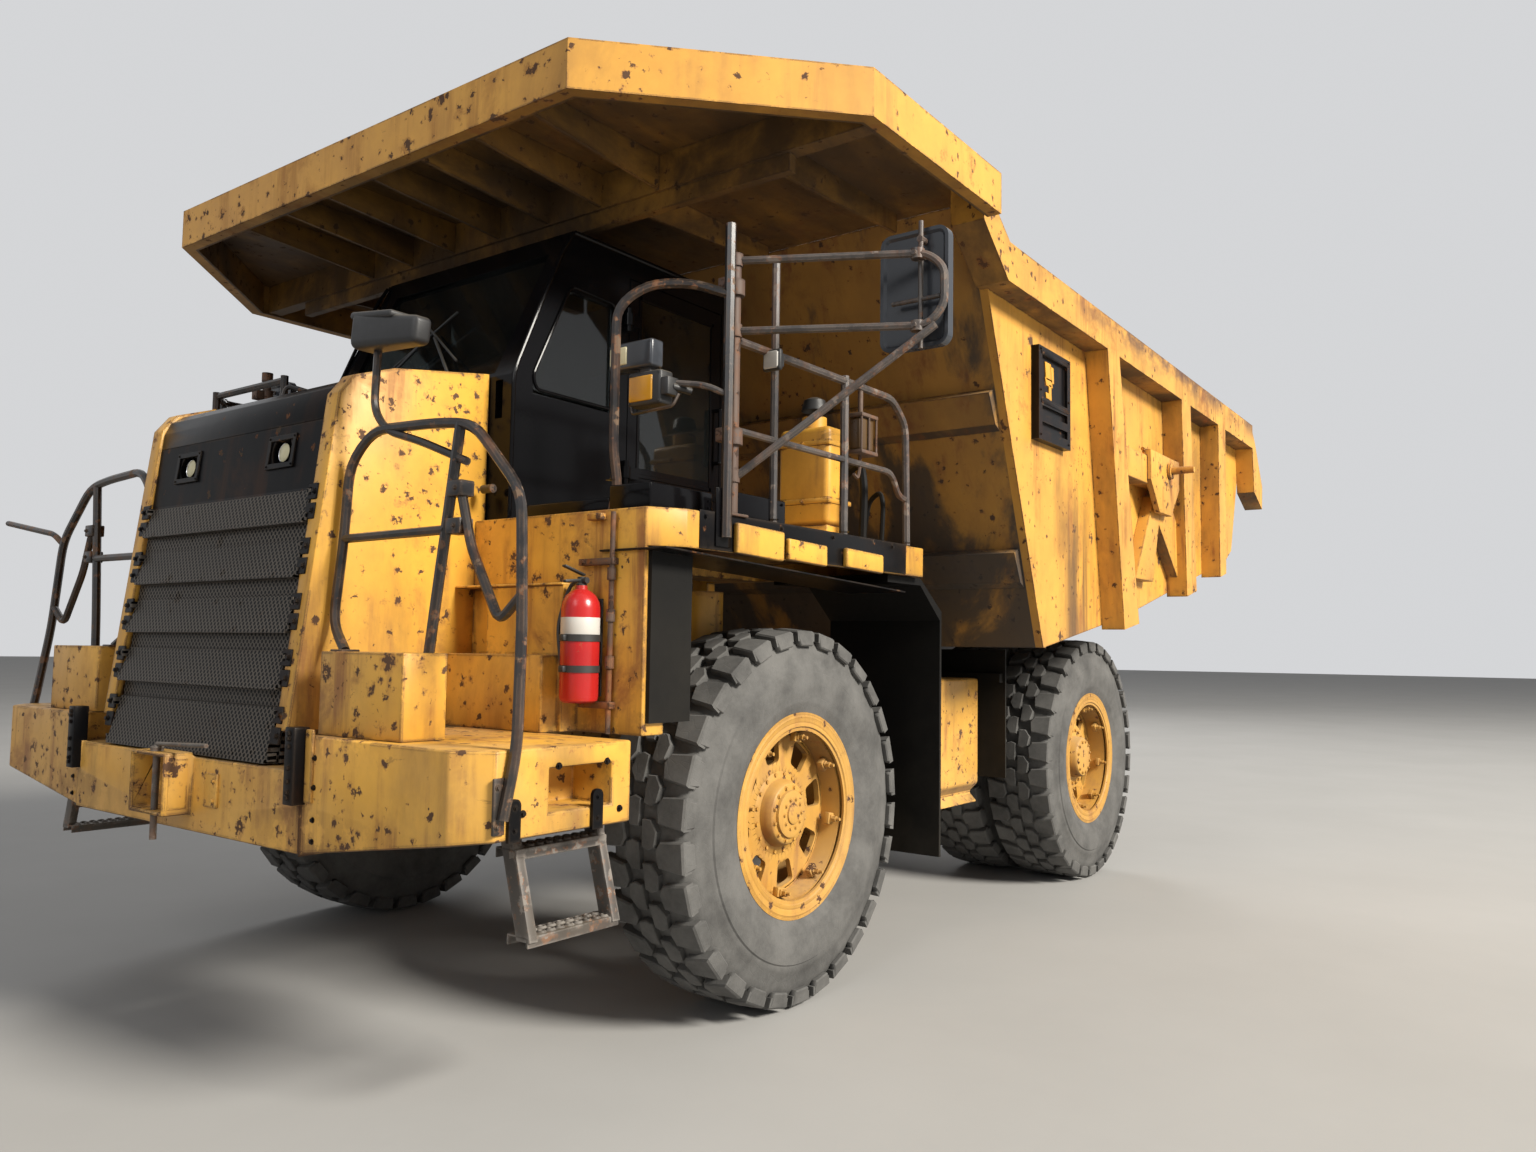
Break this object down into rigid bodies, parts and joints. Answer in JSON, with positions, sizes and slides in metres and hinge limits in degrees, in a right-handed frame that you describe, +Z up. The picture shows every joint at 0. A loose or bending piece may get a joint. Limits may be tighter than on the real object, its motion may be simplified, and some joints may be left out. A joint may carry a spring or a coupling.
{
  "type": "rigid mining dump truck",
  "caption": "Rigid two-axle mining dump truck with a canopied tipping bed, dual rear wheels, a cab on the deck, steered front wheels and telescopic hoists.",
  "frame": {"origin": "on the ground under the middle of the whole truck, at the middle of its length and width", "axes": "+X forward along the truck, +Y to the driver's left, +Z up"},
  "size_m": [9.16, 5.5002, 4.2099],
  "materials": {
    "yellow_paint": "chipped yellow machine paint",
    "bed_paint": "scraped and rust-stained yellow paint",
    "frame_paint": "dusty yellow paint",
    "rim_paint": "yellow paint with grease and chips",
    "black_paint": "satin black paint",
    "black_plastic": "dull black plastic",
    "bare_steel": "worn dark steel with rust",
    "rod_chrome": "polished hard chrome",
    "engine_iron": "dusty dark iron",
    "rubber_flap": "dusty black rubber and steel guard",
    "tyre": "dusty tyre rubber",
    "glass": "tinted cab glass",
    "lamp_glass": "clear lamp glass",
    "lamp_red": "red lamp lens",
    "cab_trim": "dark cab trim",
    "red_paint": "gloss red paint"
  },
  "bodies": {
    "chassis": {"chassis_frame": "frame_paint", "bed_pivot_pin": "bare_steel", "front_bumper": "yellow_paint", "tow_pin": "bare_steel", "engine_block": "engine_iron", "hood": "yellow_paint", "hood_top_sheet": "black_paint", "radiator_grille": "black_paint", "headlamps": "lamp_glass", "deck_left": "yellow_paint", "deck_right": "yellow_paint", "boarding_ladders": "bare_steel", "mudguards": "rubber_flap", "cab_shell": "black_paint", "cab_glass": "glass", "cab_interior": "cab_trim", "deck_rails": "black_paint", "front_handrails": "black_paint", "mirrors": "black_paint", "work_lamps": "black_plastic", "fire_extinguisher": "red_paint", "strut_housings": "yellow_paint", "rear_axle": "frame_paint", "rear_suspension": "frame_paint", "drive_shaft": "bare_steel", "fuel_tank": "yellow_paint", "hydraulic_tank": "yellow_paint", "tail_lamps": "lamp_red"},
    "left_knuckle": {"knuckle_left": "yellow_paint"},
    "right_knuckle": {"knuckle_right": "yellow_paint"},
    "front_left_wheel": {"front_left_tyre": "tyre", "front_left_rim": "rim_paint"},
    "front_right_wheel": {"front_right_tyre": "tyre", "front_right_rim": "rim_paint"},
    "rear_left_wheels": {"rear_left_tyres": "tyre", "rear_left_rims": "rim_paint"},
    "rear_right_wheels": {"rear_right_tyres": "tyre", "rear_right_rims": "rim_paint"},
    "left_hoist_barrel": {"hoist_left_barrel": "yellow_paint"},
    "left_hoist_stage": {"hoist_left_stage": "rod_chrome"},
    "left_hoist_rod": {"hoist_left_rod": "rod_chrome"},
    "right_hoist_barrel": {"hoist_right_barrel": "yellow_paint"},
    "right_hoist_stage": {"hoist_right_stage": "rod_chrome"},
    "right_hoist_rod": {"hoist_right_rod": "rod_chrome"},
    "bed": {"dump_bed": "bed_paint", "canopy": "bed_paint", "bed_bolsters": "bed_paint", "side_panels": "black_paint", "retention_pins": "bare_steel"},
    "door": {"cab_door": "black_paint"}
  },
  "joints": [
    {"name": "bed_tip", "type": "hinge", "parent": "chassis", "child": "bed", "pos_m": [-2.8, 0, 1.55], "axis": [0, -1, 0], "range_deg": [0, 50]},
    {"name": "left_steer", "type": "hinge", "parent": "chassis", "child": "left_knuckle", "pos_m": [2.3, 1.1, 0.915], "axis": [0, 0, 1], "range_deg": [-36, 36]},
    {"name": "right_steer", "type": "hinge", "parent": "chassis", "child": "right_knuckle", "pos_m": [2.3, -1.1, 0.915], "axis": [0, 0, 1], "range_deg": [-36, 36]},
    {"name": "front_left_spin", "type": "hinge", "parent": "left_knuckle", "child": "front_left_wheel", "pos_m": [2.3, 1.55, 0.915], "axis": [0, 1, 0], "continuous": true},
    {"name": "front_right_spin", "type": "hinge", "parent": "right_knuckle", "child": "front_right_wheel", "pos_m": [2.3, -1.55, 0.915], "axis": [0, 1, 0], "continuous": true},
    {"name": "rear_left_spin", "type": "hinge", "parent": "chassis", "child": "rear_left_wheels", "pos_m": [-1.69, 1.25, 0.915], "axis": [0, 1, 0], "continuous": true},
    {"name": "rear_right_spin", "type": "hinge", "parent": "chassis", "child": "rear_right_wheels", "pos_m": [-1.69, -1.25, 0.915], "axis": [0, 1, 0], "continuous": true},
    {"name": "door_swing", "type": "hinge", "parent": "chassis", "child": "door", "pos_m": [2.755, 0.976, 2.9], "axis": [0, 0, -1], "range_deg": [0, 80]},
    {"name": "left_hoist_tilt", "type": "hinge", "parent": "chassis", "child": "left_hoist_barrel", "pos_m": [-0.5, 0.64, 0.75], "axis": [0, -1, 0], "range_deg": [0, 25.75]},
    {"name": "left_stage_slide", "type": "slide", "parent": "left_hoist_barrel", "child": "left_hoist_stage", "axis": [0.0797, 0, 0.9968], "range_m": [0, 0.965]},
    {"name": "left_rod_slide", "type": "slide", "parent": "left_hoist_stage", "child": "left_hoist_rod", "axis": [0.0797, 0, 0.9968], "range_m": [0, 0.965]},
    {"name": "right_hoist_tilt", "type": "hinge", "parent": "chassis", "child": "right_hoist_barrel", "pos_m": [-0.5, -0.64, 0.75], "axis": [0, -1, 0], "range_deg": [0, 25.75]},
    {"name": "right_stage_slide", "type": "slide", "parent": "right_hoist_barrel", "child": "right_hoist_stage", "axis": [0.0797, 0, 0.9968], "range_m": [0, 0.965]},
    {"name": "right_rod_slide", "type": "slide", "parent": "right_hoist_stage", "child": "right_hoist_rod", "axis": [0.0797, 0, 0.9968], "range_m": [0, 0.965]}
  ],
  "couplings": [
    {"joint": "right_steer", "follows": "left_steer", "ratio": 1},
    {"joint": "left_hoist_tilt", "follows": "bed_tip", "ratio": 0.505},
    {"joint": "left_stage_slide", "follows": "bed_tip", "m_per_rad": 1.1035},
    {"joint": "left_rod_slide", "follows": "bed_tip", "m_per_rad": 1.1035},
    {"joint": "right_hoist_tilt", "follows": "bed_tip", "ratio": 0.505},
    {"joint": "right_stage_slide", "follows": "bed_tip", "m_per_rad": 1.1035},
    {"joint": "right_rod_slide", "follows": "bed_tip", "m_per_rad": 1.1035}
  ]
}
